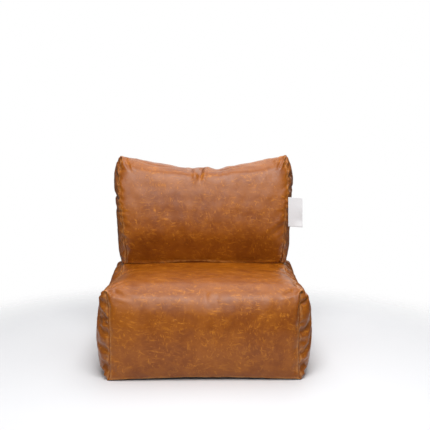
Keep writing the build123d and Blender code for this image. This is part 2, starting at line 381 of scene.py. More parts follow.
def fit_back(points):
    """The filled back in its own leaning frame: across, through from its front seams, and up."""
    x, through, up = points.T.copy()
    narrowed = TOP_NARROWER * np.clip((up - TOP_FROM) / TOP_OVER, 0, TOP_MOST) ** 2
    x *= BACK_WIDER - FOOT_NARROWER * (1 - ease(up, *FOOT_UP)) - narrowed
    x *= 1 + FOOT_FLARE * (1 - ease(up, *FLARE_UP))
    x -= np.sign(x) * SIDE_PRESSED * np.maximum(np.abs(x) - BACK_SIDE, 0)
    across = np.clip(np.abs(x) / HALF_TOP, 0, 1)
    # the top sags between its corners, and the foot lies on the seat
    up = up - (SAG - SAG_LESS * across**2 - SAG_CORNERS * across**8) * ease(up, *SAG_UP)
    up = up - (SINK - SINK_LESS * across**2) * (1 - ease(up, *SINK_UP))
    # a filled front, and a rear that the zip holds flat
    half = BACK_CUT[1] / 2 * BACK_FLAT
    below, above = (up - BELLY_HEIGHT) / BELLY_HEIGHT, (up - BELLY_HEIGHT) / BELLY_ABOVE
    belly = np.clip(1 - np.where(up < BELLY_HEIGHT, below, above) ** 2, 0, 1)
    front_swell = level_off(np.maximum(-through - half, 0), 0, FRONT_SWELL)
    rear_swell = level_off(np.maximum(through - half, 0), 0, REAR_SWELL)
    front_belly = BELLY * belly * ease(-through, -half / 2, half)
    rear_belly = REAR_BELLY * (1 - across**2) * ease(through, -half / 2, half)
    through_cad = (np.clip(through, -half, half) / half + 1) / 2 * BACK_SEAM_DEPTH
    through = through_cad - front_swell + rear_swell - front_belly + rear_belly
    return np.stack([x, np.minimum(through, BACK_REAR), up], axis=1)


CONTACT_GAP = 0.0008  # how far under the seat's CAD top the contact lies in the middle
CONTACT_DROP = 0.010  # how much lower the cushions touch at their sides
CONTACT_SIDES = (0.297, 0.350)
ZIP_BAND = (0.018, 0.055)  # how far above and below a zip it keeps its panel flat
ZIP_BAND_ENDS = (ZIP_HALF + 0.020, ZIP_HALF + 0.045)
PRESSED_FROM = (CREASE - 0.045, CREASE + 0.005)
PRESSED_TO = (0.300, 0.345)
PRESSED_SIDES = (0.300, 0.335)
PRESSED_UPPER = (0.270, 0.300)
SEAT_ZIP_SIDE = (0.25, 0.32)  # the side of each cushion that its zip is on
BACK_ZIP_SIDE = (0.12, 0.17)
OFF_FLOOR = 0.0004


def contact_height(x):
    """Where the two cushions lie on each other; it drops towards the sides."""
    return SEAT_TOP - CONTACT_GAP - CONTACT_DROP * ease(np.abs(x), *CONTACT_SIDES)


def zip_hold(x, off):
    """1 in the band that a zip keeps flat, and 0 away from it."""
    return (1 - ease(np.abs(off), *ZIP_BAND)) * (1 - ease(np.abs(x), *ZIP_BAND_ENDS))


def finish_seat(points):
    """Flat under the back cushion and along the zip, and nothing under the floor."""
    x, y, z = np.moveaxis(points, -1, 0)
    pressed = ease(y, *PRESSED_FROM) * (1 - ease(y, *PRESSED_TO))
    pressed = pressed * (1 - ease(np.abs(x), *PRESSED_SIDES)) * ease(z, *PRESSED_UPPER)
    z = z + pressed * (contact_height(x) - z)
    held = zip_hold(x, z - SEAT_ZIP) * ease(y, *SEAT_ZIP_SIDE)
    y = y + held * (SEAT_REAR - y)
    return np.stack([x, y, np.maximum(z, OFF_FLOOR)], axis=-1)


def finish_back(points):
    """Flat where it lies on the seat and along its zip, and tucked in where it folds onto the seat."""
    x, through, up = np.moveaxis(points, -1, 0)
    through = smooth_max(through, -FOLD_ROOM * np.maximum(up, 0), FOLD_SMOOTH)
    held = zip_hold(x, up - BACK_ZIP) * ease(through, *BACK_ZIP_SIDE)
    through = through + held * (BACK_REAR - through)
    # up, for the height at which the cushions touch
    floor = contact_height(x) + BACK_FOOT - SEAT_TOP
    lowest = (floor - BACK_ORIGIN[2] - through * BACK_THROUGH[2]) / BACK_UP[2]
    clear = np.maximum(up - lowest, 0)
    return np.stack([x, through, lowest + clear * ease(clear, PRESSED_FLAT, PRESSED)], axis=-1)


# Distances on the strip over the roll are shares of twice the cushion's height.
ROLL_SIDES = (0.0, 0.15)  # from the side seams to where the rounding is whole
ROLL_SPREAD = 2.2  # times the rounding's reach, from the roll to where it has faded out


def round_roll(points, index, cells, reach):
    """Round the strip where it rolls from the front over to the top, but not at the side seams."""
    nx, ny, nz = cells
    width, length = nx + 1, nz + ny + 1
    key = [[(a, max(b - nz, 0), min(b, nz)) for b in range(length)] for a in range(width)]
    strip = np.array([[index[corner] for corner in row] for row in key])
    cell = 0.5 / nz
    side = np.minimum(np.arange(width), nx - np.arange(width))[:, None] * cell
    roll = np.abs(np.arange(length) - nz)[None, :] * cell
    weight = ease(side, *ROLL_SIDES) * (1 - ease(roll, 0.0, ROLL_SPREAD * reach))
    weight[:, [0, -1]] = 0
    surface = points[strip]
    for _ in range(round(2 * (reach * nz) ** 2)):
        mean = surface.copy()
        mean[:, 1:-1] = (surface[:, :-2] + 2 * surface[:, 1:-1] + surface[:, 2:]) / 4
        surface += weight[..., None] * (mean - surface)
    points = points.copy()
    points[strip] = surface
    return points


FOOT_SPAN = 0.05  # how far apart along the foot two folds even out
FOOT_REACH = 0.06  # and how far from its seam
FOOT_CORNERS = (0.03, 0.12)  # from the side seams, where the folds stay


def calm_foot(points, index, cells, cut):
    """Even out the folds beside the front base seam, which the weight on it presses flat."""
    points = points.copy()
    cell = cut[0] / cells[0]
    places = np.arange(cells[0] + 1)
    inside = ease(np.minimum(places, places[::-1]) * cell, *FOOT_CORNERS)[1:-1, None]
    rows = range(round(FOOT_REACH / cell))
    for j, k in [(0, k) for k in rows] + [(j, 0) for j in rows[1:]]:
        row = [index[i, j, k] for i in places]
        weight = inside * (1 - ease((j + k) * cell, FOOT_REACH / 3, FOOT_REACH))
        line = points[row]
        for _ in range(round(2 * (FOOT_SPAN / cell) ** 2)):
            line[1:-1] += weight * ((line[:-2] + line[2:]) / 4 - line[1:-1] / 2)
        points[row] = line
    return points


def make_bags():
    """Both cushions, filled and fitted."""
    bags = []
    for name, cut, pressure, base, roll, fit, finish, place in (
        ("seat", SEAT_CUT, SEAT_FILL, seat_base, SEAT_ROLL, fit_seat, finish_seat, as_it_is),
        ("back", BACK_CUT, BACK_FILL, None, BACK_ROLL, fit_back, finish_back, from_back),
    ):
        cells, index, quads, points = fill_bag(name + "_cloth", cut, pressure, base)
        points = round_roll(points, index, cells, roll)
        points = fit(calm_foot(points, index, cells, cut))
        bags.append(Bag(name, cut, cells, index, quads, points, outward(points, quads), finish, place))
    return bags


# ---- panels, sampled from a bag
# A panel is a rectangle of cut cloth with two directions, a and b. Each of its four edges, at a = 0,
# a = end, b = 0 and b = end, is a seam.
def panel_layout(bag, kind):
    """How many cells a panel has each way, its size, and the lattice corner at (a, b)."""
    nx, ny, nz = bag.cells
    width, depth, height = bag.cut

    def over_the_roll(a, b):
        return a, min(max(b - nz, 0), ny), min(b, nz)

    return {
        "top_front": (nx, nz + ny, width, height + depth, over_the_roll),
        "left": (ny, nz, depth, height, lambda a, b: (0, a, b)),
        "right": (ny, nz, depth, height, lambda a, b: (nx, a, b)),
        "rear": (nx, nz, width, height, lambda a, b: (a, ny, b)),
        "base": (nx, ny, width, depth, lambda a, b: (a, b, 0)),
    }[kind]


def panel_seams(bag, kind):
    """The seam along each edge of a panel, and how far along that seam the edge starts."""
    height = bag.cut[2]
    return {
        "top_front": (("left", 0), ("right", 0), ("front_base", 0), ("rear_top", 0)),
        "left": (("left", 0), ("left_rear", 0), ("left_base", 0), ("left", height)),
        "right": (("right", 0), ("right_rear", 0), ("right_base", 0), ("right", height)),
        "rear": (("left_rear", 0), ("right_rear", 0), ("rear_base", 0), ("rear_top", 0)),
        "base": (("left_base", 0), ("right_base", 0), ("front_base", 0), ("rear_base", 0)),
    }[kind]


def cubic(grid, at, rows=None):
    """grid, evenly spaced along its first axis, at the places at, in steps of that axis."""
    grid = np.concatenate([2 * grid[:1] - grid[1:2], grid, 2 * grid[-1:] - grid[-2:-1]])
    first = np.clip(at.astype(int), 0, len(grid) - 4)
    t = (at - first)[..., None] if rows is not None else (at - first)[:, None, None]
    p = [grid[first + n] if rows is None else grid[first + n, rows] for n in range(4)]
    slope, bend = p[2] - p[0], 2 * p[0] - 5 * p[1] + 4 * p[2] - p[3]
    return p[1] + t / 2 * (slope + t * (bend + t * (3 * (p[1] - p[2]) + p[3] - p[0])))


GATHER_PITCH = 0.019
GATHER_DEPTH = 0.0022
GATHER_REACH = 0.045
GATHER_APART = (0.55, 1.45)  # from one gather to the next, in pitches
GATHER_SPREAD = 0.12  # how much wider a gather gets for its distance from the seam
GATHER_CALM = 0.2  # how strong the gathers are along the base seams
GATHER_SIDES = 0.4
GATHER_FRONT = 0.45
GATHER_DRAWN_IN = 1.1  # and so much more where the seam is drawn in
DRAWN_IN_FROM = (0.02, 0.10)
DRAWN_IN_TO = (0.25, 0.36)
AT_SEAM = 0.004  # how close to a seam gathers and folds die out
CALM_SEAMS = ("front_base", "left_base", "right_base", "rear_base")
SEAMS = ("left", "right", "front_base", "rear_top", "left_rear", "right_rear", *CALM_SEAMS[1:])
Wrinkles = namedtuple("Wrinkles", "at depth reach slant width")


def seam_wrinkles(bag, seam, seed):
    """The gathers along a seam: short valleys that start at it and fade out into the panels."""
    random = np.random.default_rng(seed)
    length = bag.cut[2] + bag.cut[1] if seam in ("left", "right") else max(bag.cut)
    at = np.cumsum(random.uniform(*GATHER_APART, int(length / GATHER_PITCH)) * GATHER_PITCH)
    n = len(at)
    return Wrinkles(
        at=at,
        depth=random.uniform(0.15, 1.0, n) * GATHER_DEPTH,
        reach=random.uniform(0.35, 1.0, n) * GATHER_REACH,
        slant=random.normal(0, 0.35, n),
        width=random.uniform(0.16, 0.28, n) * GATHER_PITCH,
    )


def gather_strength(bag, kind, seam, place):
    """How strong the gathers are at a place along a seam, as a panel shows them."""
    if seam in CALM_SEAMS:
        return GATHER_CALM
    if kind in ("left", "right"):
        return GATHER_SIDES
    # on the seat, just in front of the back, where the seam is drawn in most
    on_top = place - bag.cut[2]
    drawn_in = ease(on_top, *DRAWN_IN_FROM) * (1 - ease(on_top, *DRAWN_IN_TO)) if bag.name == "seat" else 0
    return GATHER_FRONT + GATHER_DRAWN_IN * drawn_in


LUMP_SEED = 11
LUMP_WAVES = 14
LUMP_LENGTHS = (0.040, 0.100)
LUMP_HEIGHT = 0.00014  # of each wave


def lumps(points):
    """The low swells that the bead filling makes in the cover."""
    random = np.random.default_rng(LUMP_SEED)
    total = np.zeros(points.shape[:-1])
    for _ in range(LUMP_WAVES):
        direction = random.normal(size=3)
        direction *= 2 * math.pi / random.uniform(*LUMP_LENGTHS) / np.linalg.norm(direction)
        total += np.sin(points @ direction + random.uniform(0, 2 * math.pi))
    return LUMP_HEIGHT * total


Fold = namedtuple("Fold", "start end width depth")
# Single folds of a panel, from start to end, as distances on the cut cloth from its left and lower edge.
FOLDS = {
    ("back", "top_front"): (
        Fold((0.330, 0.530), (0.325, 0.372), 0.0110, 0.0085),  # the pinch in the middle of the top
        Fold((0.012, 0.480), (0.066, 0.400), 0.0090, 0.0050),
        Fold((0.674, 0.480), (0.628, 0.410), 0.0090, 0.0050),
        Fold((0.070, 0.500), (0.260, 0.492), 0.0085, 0.0022),
        Fold((0.400, 0.494), (0.560, 0.502), 0.0080, 0.0020),
        Fold((0.672, 0.140), (0.560, 0.090), 0.0130, 0.0030),
    ),
    ("seat", "top_front"): (
        Fold((0.012, 0.350), (0.110, 0.300), 0.0110, 0.0040),
        Fold((0.012, 0.375), (0.085, 0.470), 0.0100, 0.0045),
        Fold((0.678, 0.350), (0.590, 0.312), 0.0110, 0.0040),
    ),
}


FOLD_WIDTH = 1.15  # of a fold at its start, as a multiple of its own
FOLD_NARROWER = 0.5  # and what it loses of that up to its end
FOLD_RIDGE = 0.55  # the height of the ridges beside a fold, as a share of its depth
FOLD_RIDGE_PLACE = 2.0  # in widths from its middle
FOLD_BEGINS = (-0.10, 0.15)  # as shares of its length
FOLD_FADES = (0.35, 1.05)


def fold_height(fold, a, b):
    """A valley with a ridge on each side, that fades out along the fold."""
    start, end = np.array(fold.start), np.array(fold.end)
    length = np.linalg.norm(end - start)
    ahead = (end - start) / length
    along = ((a - start[0]) * ahead[0] + (b - start[1]) * ahead[1]) / length
    off = np.abs((b - start[1]) * ahead[0] - (a - start[0]) * ahead[1])
    width = fold.width * (FOLD_WIDTH - FOLD_NARROWER * np.clip(along, 0, 1))
    ridge = FOLD_RIDGE * np.exp(-(((off - FOLD_RIDGE_PLACE * width) / width) ** 2))
    valley = np.exp(-((off / width) ** 2)) - ridge
    return -fold.depth * valley * ease(along, *FOLD_BEGINS) * (1 - ease(along, *FOLD_FADES))


def panel_surface(bag, kind, a, b):
    """A panel's points, outward normals and distance from its seams.

    a is a line of places across the panel and b a line of places along it, or a table with one such
    line for each a. Both are distances on the cut cloth.
    """
    across, along, width, length, key = panel_layout(bag, kind)
    grid = np.array([[bag.index[key(i, j)] for j in range(along + 1)] for i in range(across + 1)])
    b = np.broadcast_to(b, (len(a), np.shape(b)[-1]))
    rows = np.arange(len(a))[:, None]
    fields = []
    for values in (bag.points, bag.normals):
        lines = cubic(values[grid], a / width * across)
        fields.append(cubic(np.swapaxes(lines, 0, 1), b / length * along, rows))
    points, normals = fields
    normals = unit(normals)

    a = np.broadcast_to(a[:, None], b.shape)
    edges = ((a, b), (width - a, b), (b, a), (length - b, a))
    nearest = np.min([distance for distance, _ in edges], axis=0)
    free = np.ones_like(a)
    for distance, _ in edges:
        free = free * (1 - np.exp(-((distance / AT_SEAM) ** 2)))
    height = np.zeros_like(a)
    for (distance, place), (seam, start) in zip(edges, panel_seams(bag, kind), strict=True):
        gathers = seam_wrinkles(bag, seam, SEAMS.index(seam) + BAG_SEED[bag.name])
        strength = gather_strength(bag, kind, seam, place + start)
        for at, depth, reach, slant, wide in zip(*gathers, strict=True):
            near = (place + start - at - slant * distance) / (wide + GATHER_SPREAD * distance)
            height -= strength * depth * np.exp(-near * near) * np.exp(-((distance / reach) ** 2))
    for fold in FOLDS.get((bag.name, kind), ()):
        height += fold_height(fold, a, b)
    height = height * free + lumps(bag.place(points))
    height -= GROOVE * np.exp(-((nearest / GROOVE_WIDTH) ** 2))
    height += RIDGE * np.exp(-(((nearest - RIDGE_PLACE) / RIDGE_WIDTH) ** 2))
    points = bag.finish(points + normals * height[..., None])
    turned = bag.place(normals) - bag.place(np.zeros(3))
    return bag.place(points), turned, nearest


def lines(length, step):
    """Places from 0 to length, step apart, and finer beside the seams at both ends."""
    head = np.array(SEAM_LINES)
    tail = length - head[::-1]
    count = max(2, round((tail[0] - head[-1]) / step))
    return np.concatenate([head, np.linspace(head[-1], tail[0], count + 1)[1:-1], tail])


# ---- meshes
def free_mesh(name, points, faces, material):
    """A smooth mesh piece that doesn't ride on anything yet."""
    mesh = bpy.data.meshes.new(name)
    mesh.from_pydata(np.asarray(points).reshape(-1, 3).tolist(), [], faces)
    mesh.polygons.foreach_set("use_smooth", [True] * len(mesh.polygons))
    mesh.materials.append(material)
    piece = new_object(name, mesh)
    return piece


def new_mesh(name, points, faces, body, material):
    """A smooth mesh piece that rides on a body."""
    piece = free_mesh(name, points, faces, material)
    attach(piece, body)
    return piece


def shell(outer, inner):
    """The faces of the closed shell between two grids of points, outer first, facing out."""
    rows, cols = outer.shape[:2]
    index = np.arange(rows * cols).reshape(rows, cols)
    quads = np.stack([index[:-1, :-1], index[1:, :-1], index[1:, 1:], index[:-1, 1:]], axis=-1).reshape(-1, 4)
    rim = np.concatenate([index[:, 0], index[-1, 1:], index[-2::-1, -1], index[0, -2:0:-1]])
    ahead = np.roll(rim, -1)
    under = rows * cols
    sides = np.stack([ahead, rim, rim + under, ahead + under], axis=-1)
    faces = np.concatenate([quads, quads[:, ::-1] + under, sides])
    i, j = rows // 2, cols // 2
    facing = np.cross(outer[i, j] - outer[i - 1, j], outer[i, j] - outer[i, j - 1])
    if facing @ (outer[i, j] - inner[i, j]) < 0:
        faces = faces[:, ::-1]
    return np.concatenate([outer.reshape(-1, 3), inner.reshape(-1, 3)]), faces.tolist()


def sheet(x, y, z):
    """A grid of points from a column of x and the y and z of each place along the sheet."""
    return np.stack(np.broadcast_arrays(x[:, None], y, z), axis=-1)


def from_edge(points):
    """How far each point of a grid is from the grid's last line."""
    return np.linalg.norm(points - points[:, -1:], axis=-1)


HEM_DEPTH = 0.0008  # how far the edge beside a zip turns in
HEM_WIDTH = 0.0012


def panel_piece(bag, kind, node, a, b, material, hem=None):
    """A cover panel as a closed shell, in place of its CAD node.

    hem says where along a the panel's last edge turns in.
    """
    points, normals, nearest = panel_surface(bag, kind, a, b)
    if hem is not None:
        turned_in = HEM_DEPTH * hem[:, None] * np.exp(-((from_edge(points) / HEM_WIDTH) ** 2))
        points -= normals * turned_in[..., None]
    vertices, faces = shell(points, points - SKIN * normals)
    piece = new_mesh(node + "_cover", vertices, faces, BODY[bag.name], material)
    seam_wear_and_painted_light = piece.data.attributes.new("seam_distance", "FLOAT", "POINT")
    seam_wear_and_painted_light.data.foreach_set("value", np.concatenate([nearest.ravel()] * 2).astype(np.float32))
    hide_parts(node)
    return piece


# ---- materials
class Nodes:
    """Short calls that build the nodes of a material or of the world."""

    def __init__(self, tree):
        self.nodes = tree.nodes
        self.links = tree.links

    def add(self, kind, inputs=None, **settings):
        """A node with these settings. Each input is a plain value or the output of another node."""
        node = self.nodes.new("ShaderNode" + kind)
        for name, value in settings.items():
            setattr(node, name, value)
        for socket, value in (inputs or {}).items():
            self.feed(node.inputs[socket], value)
        return node

    def feed(self, socket, value):
        """Link value to a socket, or set it there if it is a plain number or colour."""
        if isinstance(value, bpy.types.NodeSocket):
            self.links.new(value, socket)
        else:
            socket.default_value = value


class Recipe(Nodes):
    """A procedural material, from the noises and mixtures that the materials here have in common."""

    def __init__(self, name, **fixed):
        self.material = bpy.data.materials.new(name)
        self.material.use_nodes = True
        super().__init__(self.material.node_tree)
        self.shader = self.nodes["Principled BSDF"]
        self.object_place = self.add("TexCoord").outputs["Object"]
        for socket, value in fixed.items():
            self.shader.inputs[socket.replace("_", " ")].default_value = value

    def noise(self, scale, detail=4, roughness=0.5, distortion=0, place=None):
        """Noise with about scale features to the metre."""
        inputs = {"Vector": place or self.object_place, "Scale": scale, "Detail": detail}
        inputs |= {"Roughness": roughness, "Distortion": distortion}
        return self.add("TexNoise", inputs).outputs["Fac"]

    def cells(self, scale, feature="F1", place=None):
        """Distances in a pattern of cells, about scale of them to the metre."""
        inputs = {"Vector": place or self.object_place, "Scale": scale}
        return self.add("TexVoronoi", inputs, feature=feature).outputs["Distance"]

    def stretched(self, place, scale):
        """The places scaled along the axes, for long features."""
        return self.add("Mapping", {"Vector": place, "Scale": scale}).outputs["Vector"]

    def warped(self, scale, amount):
        """The places moved about by noise, so that a pattern doesn't run straight."""
        noise = self.add("TexNoise", {"Vector": self.object_place, "Scale": scale})
        inputs = {0: noise.outputs["Color"], 1: (amount,) * 3, 2: self.object_place}
        return self.add("VectorMath", inputs, operation="MULTIPLY_ADD").outputs[0]

    def math(self, operation, a, b):
        return self.add("Math", {0: a, 1: b}, operation=operation).outputs[0]

    def between(self, value, low, high, at_low=0.0, at_high=1.0):
        """at_low where value is low, at_high where it is high, and smooth between."""
        inputs = {"Value": value, "From Min": low, "From Max": high, "To Min": at_low, "To Max": at_high}
        return self.add("MapRange", inputs, interpolation_type="SMOOTHSTEP").outputs[0]

    def mixed(self, factor, first, second):
        """Two colours mixed. A mix node's colour sockets share their names, so they go by number."""
        return self.add("Mix", {"Factor": factor, 6: first, 7: second}, data_type="RGBA").outputs[2]

    def colour(self, value):
        self.feed(self.shader.inputs["Base Color"], value)

    def rough(self, value):
        self.feed(self.shader.inputs["Roughness"], value)

    def relief(self, *layers):
        """Bump from (height, distance in metres) layers, laid over each other."""
        normal = None
        for height, distance in layers:
            inputs = {"Distance": distance, "Height": height}
            if normal:
                inputs["Normal"] = normal
            normal = self.add("Bump", inputs).outputs["Normal"]
        self.feed(self.shader.inputs["Normal"], normal)


COGNAC = (0.285, 0.077, 0.0026, 1)
COGNAC_DARK = (0.205, 0.048, 0.0012, 1)
COGNAC_LIGHT = (0.355, 0.104, 0.0060, 1)
COGNAC_MARK = (0.620, 0.215, 0.0130, 1)
# the pale pink of the ridge beside each seam: partly wear, partly a painted highlight
COGNAC_RUBBED_AND_HIGHLIT = (0.520, 0.220, 0.0600, 1)
BRASS_TONES = ((0.17, 0.115, 0.045, 1), (0.58, 0.43, 0.20, 1))
NYLON_TONES = ((0.045, 0.018, 0.007, 1), (0.085, 0.036, 0.014, 1))
THREAD_TONES = ((0.22, 0.075, 0.016, 1), (0.42, 0.17, 0.045, 1))
BEAD_TONES = ((0.88, 0.88, 0.86, 1), (0.70, 0.70, 0.68, 1))


def make_leather():
    """Distressed cognac leather-look cloth: softly clouded, with short lighter scuffs. Its seams' grooves
    carry painted shade, and the ridges beside them are lighter, partly from wear and partly as a painted
    highlight.
    """
    r = Recipe("leather", IOR=1.45, Specular_IOR_Level=0.42)
    clouds = r.between(r.noise(9, detail=5, roughness=0.62, distortion=0.5), 0.32, 0.68)
    patches = r.between(r.noise(34, detail=4, roughness=0.6, distortion=0.6), 0.40, 0.70)
    colour = r.mixed(clouds, COGNAC_DARK, COGNAC)
    colour = r.mixed(r.math("MULTIPLY", patches, 0.45), colour, COGNAC_LIGHT)
    # scuffs: short fuzzy strokes, mostly level, in loose groups
    bent = r.warped(9, 0.060)
    scuffs = []
    for scale, lengths, group_scale in ((140, (0.26, 0.26, 1.0), 13), (170, (0.75, 0.32, 0.38), 19)):
        stroke = r.noise(scale, detail=4, roughness=0.7, place=r.stretched(bent, lengths))
        stroke = r.between(stroke, 0.53, 0.69)
        group = r.between(r.noise(group_scale, detail=2), 0.36, 0.62)
        scuffs.append(r.math("MULTIPLY", stroke, group))
    marks = r.math("MAXIMUM", *scuffs)
    hair = r.between(r.cells(30, "DISTANCE_TO_EDGE", r.warped(22, 0.050)), 0.0, 0.045, 1.0, 0.0)
    hair = r.math("MULTIPLY", hair, r.between(r.noise(24, detail=2), 0.58, 0.68))
    marks = r.math("MAXIMUM", marks, r.math("MULTIPLY", hair, 0.8))
    colour = r.mixed(r.math("MULTIPLY", marks, 0.62), colour, COGNAC_MARK)
    # painted shade darkens each seam's groove; the ridge beside it is painted lighter, partly for wear and
    # partly as a painted highlight
    seam = r.add("Attribute", attribute_name="seam_distance").outputs["Fac"]
    ridge = r.math("MULTIPLY", r.between(seam, 0.002, 0.005), r.between(seam, 0.006, 0.016, 1.0, 0.0))
    # painted highlight with wear: the ridge beside each seam is painted paler and pinker, as its sheen would
    # show and as wear makes it
    wear_and_painted_highlight = r.math("MULTIPLY", ridge, r.between(r.noise(60, detail=4), 0.35, 0.65, 0.15, 0.7))
    colour = r.mixed(wear_and_painted_highlight, colour, COGNAC_RUBBED_AND_HIGHLIT)
    # painted shade: the leather is painted darker in the groove of each seam
    colour = r.mixed(r.between(seam, 0.0005, 0.0030, 0.55, 0.0), colour, COGNAC_DARK)
    r.colour(colour)
    grain = r.cells(620, "F1", r.warped(300, 0.0012))
    pores = r.noise(1500, detail=2)
    creases = r.cells(150, "DISTANCE_TO_EDGE", r.warped(70, 0.010))
    handled = r.between(r.noise(22, detail=4), 0.3, 0.7, 0.32, 0.39)
    r.rough(r.math("ADD", handled, r.math("MULTIPLY", marks, 0.10)))
    r.relief(
        (r.between(creases, 0.0, 0.10), 0.00010),
        (grain, 0.00012),
        (pores, 0.00005),
        (marks, 0.00008),
    )
    return r.material


WAVE_SCALE = 0.314  # the scale of a wave texture that has one wave to the metre


def weave(r, threads):
    """The relief of a plain weave with so many threads to the metre, from two crossed waves."""
    heights = []
    for direction in ("X", "Z"):
        inputs = {"Vector": r.object_place, "Scale": threads * WAVE_SCALE}
        heights.append(r.add("TexWave", inputs, bands_direction=direction).outputs["Fac"])
    return r.math("MAXIMUM", *heights)


def make_cloth(name, tones, threads, rough, relief):
    """A woven cloth of two close tones, with so many threads to the metre."""
    r = Recipe(name, IOR=1.45, Sheen_Weight=0.25, Sheen_Roughness=0.5)
    threads_up = weave(r, threads)
    fibres = r.noise(900, detail=3)
    tone = r.math("MULTIPLY", threads_up, r.between(fibres, 0.25, 0.75, 0.6, 1.0))
    r.colour(r.mixed(tone, *tones))
    r.rough(r.between(fibres, 0.3, 0.7, rough - 0.06, rough + 0.06))
    r.relief((threads_up, relief), (fibres, relief / 4))
    return r.material


def make_brass():
    """Antique brass: darker in blotches, brighter with wear elsewhere."""
    r = Recipe("antique_brass", Metallic=1.0)
    aged = r.between(r.noise(260, detail=5, roughness=0.65), 0.35, 0.65)
    r.colour(r.mixed(aged, *BRASS_TONES))
    r.rough(r.between(r.noise(700, detail=3), 0.3, 0.7, 0.24, 0.46))
    r.relief((r.noise(1800, detail=2), 0.00002))
    return r.material


def make_nylon():
    """Brown nylon zip coil, slightly glossy."""
    r = Recipe("zip_nylon", IOR=1.53)
    r.colour(r.mixed(r.noise(800, detail=3), *NYLON_TONES))
    r.rough(r.between(r.noise(1500, detail=2), 0.3, 0.7, 0.30, 0.42))
    return r.material


def make_thread():
    """Twisted polyester thread, a shade lighter than the cover."""
    r = Recipe("thread", IOR=1.5, Sheen_Weight=0.2, Sheen_Roughness=0.5)
    twist = r.noise(2600, detail=2)
    r.colour(r.mixed(twist, *THREAD_TONES))
    r.rough(r.between(twist, 0.3, 0.7, 0.45, 0.6))
    r.relief((twist, 0.00008))
    return r.material


def make_beads():
    """Expanded polystyrene beads, 3 to 5 mm."""
    r = Recipe("foam_beads", IOR=1.4, Subsurface_Weight=0.1)
    bead = r.cells(250)
    r.colour(r.mixed(r.between(bead, 0.2, 0.8), *BEAD_TONES))
    r.rough(r.between(bead, 0.0, 1.0, 0.55, 0.75))
    r.relief((r.math("SUBTRACT", 1.0, bead), 0.0012))
    return r.material


LEATHER = make_leather()
BLACK = ((0.008, 0.0075, 0.007, 1), (0.030, 0.028, 0.026, 1))
UNDYED = ((0.55, 0.54, 0.50, 1), (0.78, 0.77, 0.72, 1))
BROWN = ((0.045, 0.019, 0.007, 1), (0.110, 0.048, 0.019, 1))
WHITE = ((0.60, 0.59, 0.60, 1), (0.75, 0.74, 0.75, 1))
BASE_CLOTH = make_cloth("base_cloth", BLACK, threads=900, rough=0.75, relief=0.00020)
LINER_CLOTH = make_cloth("liner_cloth", UNDYED, threads=1200, rough=0.8, relief=0.00012)
TAPE_CLOTH = make_cloth("tape_cloth", BROWN, threads=1600, rough=0.7, relief=0.00012)
LABEL_CLOTH = make_cloth("label_cloth", WHITE, threads=2400, rough=0.55, relief=0.00005)
WEBBING_CLOTH = make_cloth("webbing_cloth", BROWN, threads=700, rough=0.6, relief=0.00030)
BRASS = make_brass()
NYLON = make_nylon()
THREAD = make_thread()
BEADS = make_beads()


# ---- the covers
ZIPS = {"seat": SEAT_ZIP, "back": BACK_ZIP}
LOCAL = {"seat": as_it_is, "back": in_back}
SLIT = 0.0062  # half the height of the opening over a zip
SLIT_CLOSED = 0.0003  # half its height beyond its ends
HEMMED = 0.003  # half the height from which its edges turn in
SLIT_STEP = 0.004  # between the lines across a rear panel
SLIT_ENDS = (ZIP_HALF + 0.009, ZIP_HALF + 0.015)  # where it begins to close and is closed


def plain_panels(bag):
    """The panels without a zip in them."""
    for kind in ("top_front", "left", "right", "base"):
        _, _, width, length, _ = panel_layout(bag, kind)
        a, b = lines(width, STEP), lines(length, STEP)
        on_floor = (bag.name, kind) == ("seat", "base")
        material, slot = (BASE_CLOTH, "base_fabric") if on_floor else (LEATHER, "leather")
        panel_piece(bag, kind, f"{bag.name}_{kind}_panel", a, b, material)


def height_on_rear(bag, a, heights):
    """How far up the rear panel's cloth each place a reaches the local height heights[a]."""
    _, _, _, length, _ = panel_layout(bag, "rear")
    b = np.linspace(0, length, 80)
    points, _, _ = panel_surface(bag, "rear", a, b)
    up = LOCAL[bag.name](points)[..., 2]
    return np.array([np.interp(height, row, b) for height, row in zip(heights, up, strict=True)])


def rear_panels(bag):
    """The rear cover above and below the zip, with the slit between them that the zip lies in."""
    _, _, width, length, _ = panel_layout(bag, "rear")
    a = lines(width, SLIT_STEP)
    across = panel_surface(bag, "rear", a, np.array([length / 2]))[0][:, 0, 0]
    gap = SLIT_CLOSED + (SLIT - SLIT_CLOSED) * (1 - ease(np.abs(across), *SLIT_ENDS))
    for part, side in (("lower", -1), ("upper", 1)):
        slit = height_on_rear(bag, a, ZIPS[bag.name] + side * gap)
        room = slit if side < 0 else length - slit
        b = lines(room.mean(), STEP) / room.mean() * room[:, None]
        if side > 0:
            b = length - b
        panel_piece(bag, "rear", f"{bag.name}_rear_{part}_panel", a, b, LEATHER, hem=gap > HEMMED)


# ---- stitches
STITCH = 0.0052  # from one stitch to the next
STITCH_LENGTH = 0.0042
STITCH_THICK = 0.0008
STITCH_SIDES = 6
STITCH_ENDS = (-0.5, -0.36, 0.0, 0.36, 0.5)  # the rings of a stitch, along its length
STITCH_TAPER = (0.35, 0.85, 1.0, 0.85, 0.35)  # and how thick each one is
STITCH_PROUD = 0.00022  # how far the middle of a stitch stands off the cloth
STITCH_SINK = 0.00045  # and how far its ends go down from there
STITCH_FLATNESS = 0.7  # below 1, the thread is flattened
SEAM_ALLOWANCE = 0.0055  # from a seam to its topstitching
ZIP_ALLOWANCE = 0.0035  # from a zip's slit to its topstitching
ZIP_ROW_ENDS = 0.030  # from the side seams to the ends of that row
ROW_STEP = 0.002  # between the points of the line that a row follows


